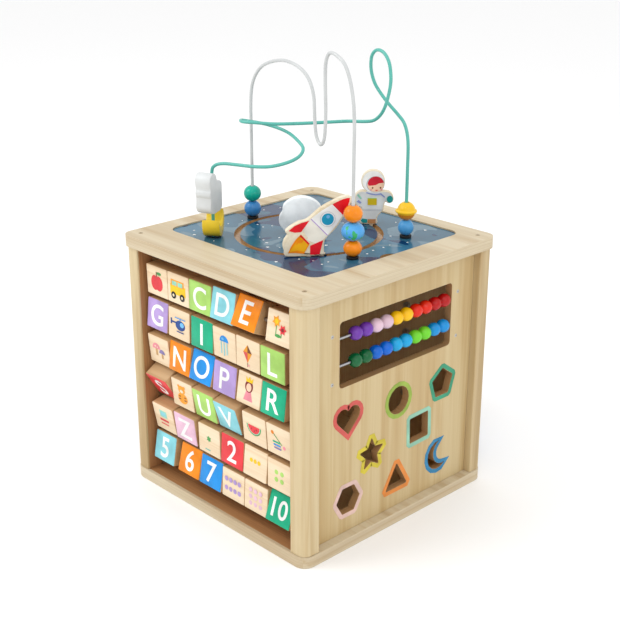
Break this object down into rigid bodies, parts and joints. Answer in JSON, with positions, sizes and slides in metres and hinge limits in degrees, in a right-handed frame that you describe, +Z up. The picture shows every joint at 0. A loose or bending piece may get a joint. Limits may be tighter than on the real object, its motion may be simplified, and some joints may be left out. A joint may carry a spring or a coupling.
{
  "type": "activity cube",
  "caption": "Free-standing wooden activity cube with turning letter blocks, a bead abacus window, a shape sorter, gears, an arc slider and a bead maze on a lift-off lid.",
  "frame": {"origin": "middle of the base's underside, on the floor", "axes": "+Z up, +X out of the abacus and shape-sorter wall, -Y out of the letter-block wall, +Y out of the gear wall, -X out of the arc-track wall"},
  "size_m": [0.3, 0.3, 0.5157],
  "materials": {
    "wood_natural": "satin",
    "wood_blue": "satin",
    "wood_blocks": "satin",
    "steel": "satin",
    "paint_maroon": "gloss",
    "paint_red": "gloss",
    "paint_yellow": "gloss",
    "paint_pink": "gloss",
    "paint_purple": "gloss",
    "paint_blue": "gloss",
    "paint_lime": "gloss",
    "paint_sky": "gloss",
    "paint_forest": "gloss",
    "wire_white": "gloss",
    "wire_teal": "gloss",
    "paint_green": "gloss",
    "paint_orange": "gloss",
    "paint_white": "satin"
  },
  "bodies": {
    "root": {"base_plate": "wood_natural", "top_frame": "wood_natural", "post_front": "wood_natural", "post_right": "wood_natural", "post_back": "wood_natural", "post_left": "wood_natural", "sorter_panel": "wood_natural", "alphabet_back_panel": "wood_natural", "gear_panel": "wood_natural", "track_panel": "wood_natural", "abacus_rod_upper": "steel", "abacus_rod_lower": "steel", "gear_axle_large": "steel", "gear_axle_middle": "steel", "gear_axle_small": "steel"},
    "panel": {"top_panel": "wood_blue", "wire_white": "wire_white", "wire_teal": "wire_teal"},
    "row_1": {"letter_row_1": "wood_blocks"},
    "row_2": {"letter_row_2": "wood_blocks"},
    "row_3": {"letter_row_3": "wood_blocks"},
    "row_4": {"letter_row_4": "wood_blocks"},
    "row_5": {"letter_row_5": "wood_blocks"},
    "row_6": {"letter_row_6": "wood_blocks"},
    "abacus_upper_bead_10": {"abacus_upper_bead_10": "paint_purple"},
    "abacus_upper_bead_9": {"abacus_upper_bead_9": "paint_purple"},
    "abacus_upper_bead_8": {"abacus_upper_bead_8": "paint_pink"},
    "abacus_upper_bead_7": {"abacus_upper_bead_7": "paint_pink"},
    "abacus_upper_bead_6": {"abacus_upper_bead_6": "paint_yellow"},
    "abacus_upper_bead_5": {"abacus_upper_bead_5": "paint_yellow"},
    "abacus_upper_bead_4": {"abacus_upper_bead_4": "paint_red"},
    "abacus_upper_bead_3": {"abacus_upper_bead_3": "paint_red"},
    "abacus_upper_bead_2": {"abacus_upper_bead_2": "paint_maroon"},
    "abacus_upper_bead_1": {"abacus_upper_bead_1": "paint_maroon"},
    "abacus_lower_bead_10": {"abacus_lower_bead_10": "paint_forest"},
    "abacus_lower_bead_9": {"abacus_lower_bead_9": "paint_forest"},
    "abacus_lower_bead_8": {"abacus_lower_bead_8": "paint_blue"},
    "abacus_lower_bead_7": {"abacus_lower_bead_7": "paint_blue"},
    "abacus_lower_bead_6": {"abacus_lower_bead_6": "paint_sky"},
    "abacus_lower_bead_5": {"abacus_lower_bead_5": "paint_sky"},
    "abacus_lower_bead_4": {"abacus_lower_bead_4": "paint_lime"},
    "abacus_lower_bead_3": {"abacus_lower_bead_3": "paint_lime"},
    "abacus_lower_bead_2": {"abacus_lower_bead_2": "paint_blue"},
    "abacus_lower_bead_1": {"abacus_lower_bead_1": "paint_blue"},
    "maze_bead_blue": {"maze_bead_blue": "paint_blue"},
    "maze_bead_green": {"maze_bead_green": "paint_green"},
    "maze_bead_orange_lower": {"maze_bead_orange_lower": "paint_orange"},
    "maze_bead_planet": {"maze_bead_planet": "paint_sky"},
    "maze_bead_orange_upper": {"maze_bead_orange_upper": "paint_orange"},
    "maze_bead_small_blue": {"maze_bead_small_blue": "paint_blue"},
    "maze_bead_ringed": {"maze_bead_ringed": "paint_yellow"},
    "moon_bead": {"moon_bead": "paint_yellow"},
    "cloud_bead": {"cloud_bead": "paint_white"},
    "rocket": {"rocket": "paint_white"},
    "astronaut": {"astronaut": "paint_white"},
    "puff_cloud": {"puff_cloud": "paint_white"},
    "gear_large": {"gear_large": "paint_sky"},
    "gear_middle": {"gear_middle": "paint_yellow"},
    "gear_small": {"gear_small": "paint_red"},
    "track_slider": {"track_slider": "paint_red"}
  },
  "joints": [
    {"name": "panel_lift", "type": "slide", "parent": "root", "child": "panel", "axis": [0, 0, 1], "range_m": [0, 0.06]},
    {"name": "row_1_spin", "type": "hinge", "parent": "root", "child": "row_1", "pos_m": [0, -0.1295, 0.2575], "axis": [1, 0, 0], "continuous": true},
    {"name": "row_2_spin", "type": "hinge", "parent": "root", "child": "row_2", "pos_m": [0, -0.1295, 0.2156], "axis": [1, 0, 0], "continuous": true},
    {"name": "row_3_spin", "type": "hinge", "parent": "root", "child": "row_3", "pos_m": [0, -0.1295, 0.1737], "axis": [1, 0, 0], "continuous": true},
    {"name": "row_4_spin", "type": "hinge", "parent": "root", "child": "row_4", "pos_m": [0, -0.1295, 0.1318], "axis": [1, 0, 0], "continuous": true},
    {"name": "row_5_spin", "type": "hinge", "parent": "root", "child": "row_5", "pos_m": [0, -0.1295, 0.0899], "axis": [1, 0, 0], "continuous": true},
    {"name": "row_6_spin", "type": "hinge", "parent": "root", "child": "row_6", "pos_m": [0, -0.1295, 0.048], "axis": [1, 0, 0], "continuous": true},
    {"name": "abacus_upper_10_slide", "type": "slide", "parent": "root", "child": "abacus_upper_bead_10", "axis": [0, -1, 0], "range_m": [0, 0.0197]},
    {"name": "abacus_upper_9_slide", "type": "slide", "parent": "root", "child": "abacus_upper_bead_9", "axis": [0, -1, 0], "range_m": [0, 0.01773]},
    {"name": "abacus_upper_8_slide", "type": "slide", "parent": "root", "child": "abacus_upper_bead_8", "axis": [0, -1, 0], "range_m": [0, 0.01576]},
    {"name": "abacus_upper_7_slide", "type": "slide", "parent": "root", "child": "abacus_upper_bead_7", "axis": [0, -1, 0], "range_m": [0, 0.01379]},
    {"name": "abacus_upper_6_slide", "type": "slide", "parent": "root", "child": "abacus_upper_bead_6", "axis": [0, -1, 0], "range_m": [0, 0.01182]},
    {"name": "abacus_upper_5_slide", "type": "slide", "parent": "root", "child": "abacus_upper_bead_5", "axis": [0, -1, 0], "range_m": [0, 0.00985]},
    {"name": "abacus_upper_4_slide", "type": "slide", "parent": "root", "child": "abacus_upper_bead_4", "axis": [0, -1, 0], "range_m": [0, 0.00788]},
    {"name": "abacus_upper_3_slide", "type": "slide", "parent": "root", "child": "abacus_upper_bead_3", "axis": [0, -1, 0], "range_m": [0, 0.00591]},
    {"name": "abacus_upper_2_slide", "type": "slide", "parent": "root", "child": "abacus_upper_bead_2", "axis": [0, -1, 0], "range_m": [0, 0.00394]},
    {"name": "abacus_upper_1_slide", "type": "slide", "parent": "root", "child": "abacus_upper_bead_1", "axis": [0, -1, 0], "range_m": [0, 0.00197]},
    {"name": "abacus_lower_10_slide", "type": "slide", "parent": "root", "child": "abacus_lower_bead_10", "axis": [0, -1, 0], "range_m": [0, 0.0197]},
    {"name": "abacus_lower_9_slide", "type": "slide", "parent": "root", "child": "abacus_lower_bead_9", "axis": [0, -1, 0], "range_m": [0, 0.01773]},
    {"name": "abacus_lower_8_slide", "type": "slide", "parent": "root", "child": "abacus_lower_bead_8", "axis": [0, -1, 0], "range_m": [0, 0.01576]},
    {"name": "abacus_lower_7_slide", "type": "slide", "parent": "root", "child": "abacus_lower_bead_7", "axis": [0, -1, 0], "range_m": [0, 0.01379]},
    {"name": "abacus_lower_6_slide", "type": "slide", "parent": "root", "child": "abacus_lower_bead_6", "axis": [0, -1, 0], "range_m": [0, 0.01182]},
    {"name": "abacus_lower_5_slide", "type": "slide", "parent": "root", "child": "abacus_lower_bead_5", "axis": [0, -1, 0], "range_m": [0, 0.00985]},
    {"name": "abacus_lower_4_slide", "type": "slide", "parent": "root", "child": "abacus_lower_bead_4", "axis": [0, -1, 0], "range_m": [0, 0.00788]},
    {"name": "abacus_lower_3_slide", "type": "slide", "parent": "root", "child": "abacus_lower_bead_3", "axis": [0, -1, 0], "range_m": [0, 0.00591]},
    {"name": "abacus_lower_2_slide", "type": "slide", "parent": "root", "child": "abacus_lower_bead_2", "axis": [0, -1, 0], "range_m": [0, 0.00394]},
    {"name": "abacus_lower_1_slide", "type": "slide", "parent": "root", "child": "abacus_lower_bead_1", "axis": [0, -1, 0], "range_m": [0, 0.00197]},
    {"name": "bead_blue_slide", "type": "slide", "parent": "panel", "child": "maze_bead_blue", "axis": [0, 0, 1], "range_m": [0, 0.04]},
    {"name": "bead_green_slide", "type": "slide", "parent": "maze_bead_blue", "child": "maze_bead_green", "axis": [0, 0, 1], "range_m": [0, 0.045]},
    {"name": "bead_orange_lower_slide", "type": "slide", "parent": "panel", "child": "maze_bead_orange_lower", "axis": [0, 0, 1], "range_m": [0, 0.028]},
    {"name": "bead_planet_slide", "type": "slide", "parent": "maze_bead_orange_lower", "child": "maze_bead_planet", "axis": [0, 0, 1], "range_m": [0, 0.028]},
    {"name": "bead_orange_upper_slide", "type": "slide", "parent": "maze_bead_planet", "child": "maze_bead_orange_upper", "axis": [0, 0, 1], "range_m": [0, 0.028]},
    {"name": "bead_small_blue_slide", "type": "slide", "parent": "panel", "child": "maze_bead_small_blue", "axis": [0, 0, 1], "range_m": [0, 0.025]},
    {"name": "bead_ringed_slide", "type": "slide", "parent": "maze_bead_small_blue", "child": "maze_bead_ringed", "axis": [0, 0, 1], "range_m": [0, 0.028]},
    {"name": "moon_spin", "type": "hinge", "parent": "panel", "child": "moon_bead", "pos_m": [-0.072, -0.0785, 0.3206], "axis": [0, 0, 1], "continuous": true},
    {"name": "cloud_spin", "type": "hinge", "parent": "panel", "child": "cloud_bead", "pos_m": [-0.072, -0.0785, 0.3541], "axis": [0, 0, 1], "continuous": true},
    {"name": "rocket_orbit", "type": "hinge", "parent": "panel", "child": "rocket", "pos_m": [-0.006, 0.006, 0.3035], "axis": [0, 0, 1], "range_deg": [-45, 0]},
    {"name": "astronaut_orbit", "type": "hinge", "parent": "panel", "child": "astronaut", "pos_m": [-0.006, 0.006, 0.3035], "axis": [0, 0, 1], "range_deg": [-12, 70]},
    {"name": "puff_cloud_spin", "type": "hinge", "parent": "panel", "child": "puff_cloud", "pos_m": [-0.006, 0.006, 0.3035], "axis": [0, 0, 1], "continuous": true},
    {"name": "gear_large_spin", "type": "hinge", "parent": "root", "child": "gear_large", "pos_m": [0.038, 0.14245, 0.082], "axis": [0, 1, 0], "continuous": true},
    {"name": "gear_middle_spin", "type": "hinge", "parent": "root", "child": "gear_middle", "pos_m": [0.038, 0.14245, 0.162], "axis": [0, 1, 0], "continuous": true},
    {"name": "gear_small_spin", "type": "hinge", "parent": "root", "child": "gear_small", "pos_m": [0.038, 0.14245, 0.196], "axis": [0, 1, 0], "continuous": true},
    {"name": "track_slider_swing", "type": "hinge", "parent": "root", "child": "track_slider", "pos_m": [-0.133, 0, 0.088], "axis": [1, 0, 0], "range_deg": [-92, 36]}
  ],
  "couplings": [
    {"joint": "abacus_upper_9_slide", "follows": "abacus_upper_10_slide", "ratio": 0.9},
    {"joint": "abacus_upper_8_slide", "follows": "abacus_upper_10_slide", "ratio": 0.8},
    {"joint": "abacus_upper_7_slide", "follows": "abacus_upper_10_slide", "ratio": 0.7},
    {"joint": "abacus_upper_6_slide", "follows": "abacus_upper_10_slide", "ratio": 0.6},
    {"joint": "abacus_upper_5_slide", "follows": "abacus_upper_10_slide", "ratio": 0.5},
    {"joint": "abacus_upper_4_slide", "follows": "abacus_upper_10_slide", "ratio": 0.4},
    {"joint": "abacus_upper_3_slide", "follows": "abacus_upper_10_slide", "ratio": 0.3},
    {"joint": "abacus_upper_2_slide", "follows": "abacus_upper_10_slide", "ratio": 0.2},
    {"joint": "abacus_upper_1_slide", "follows": "abacus_upper_10_slide", "ratio": 0.1},
    {"joint": "abacus_lower_9_slide", "follows": "abacus_lower_10_slide", "ratio": 0.9},
    {"joint": "abacus_lower_8_slide", "follows": "abacus_lower_10_slide", "ratio": 0.8},
    {"joint": "abacus_lower_7_slide", "follows": "abacus_lower_10_slide", "ratio": 0.7},
    {"joint": "abacus_lower_6_slide", "follows": "abacus_lower_10_slide", "ratio": 0.6},
    {"joint": "abacus_lower_5_slide", "follows": "abacus_lower_10_slide", "ratio": 0.5},
    {"joint": "abacus_lower_4_slide", "follows": "abacus_lower_10_slide", "ratio": 0.4},
    {"joint": "abacus_lower_3_slide", "follows": "abacus_lower_10_slide", "ratio": 0.3},
    {"joint": "abacus_lower_2_slide", "follows": "abacus_lower_10_slide", "ratio": 0.2},
    {"joint": "abacus_lower_1_slide", "follows": "abacus_lower_10_slide", "ratio": 0.1},
    {"joint": "gear_middle_spin", "follows": "gear_large_spin", "ratio": -3},
    {"joint": "gear_small_spin", "follows": "gear_large_spin", "ratio": 4.2857}
  ]
}
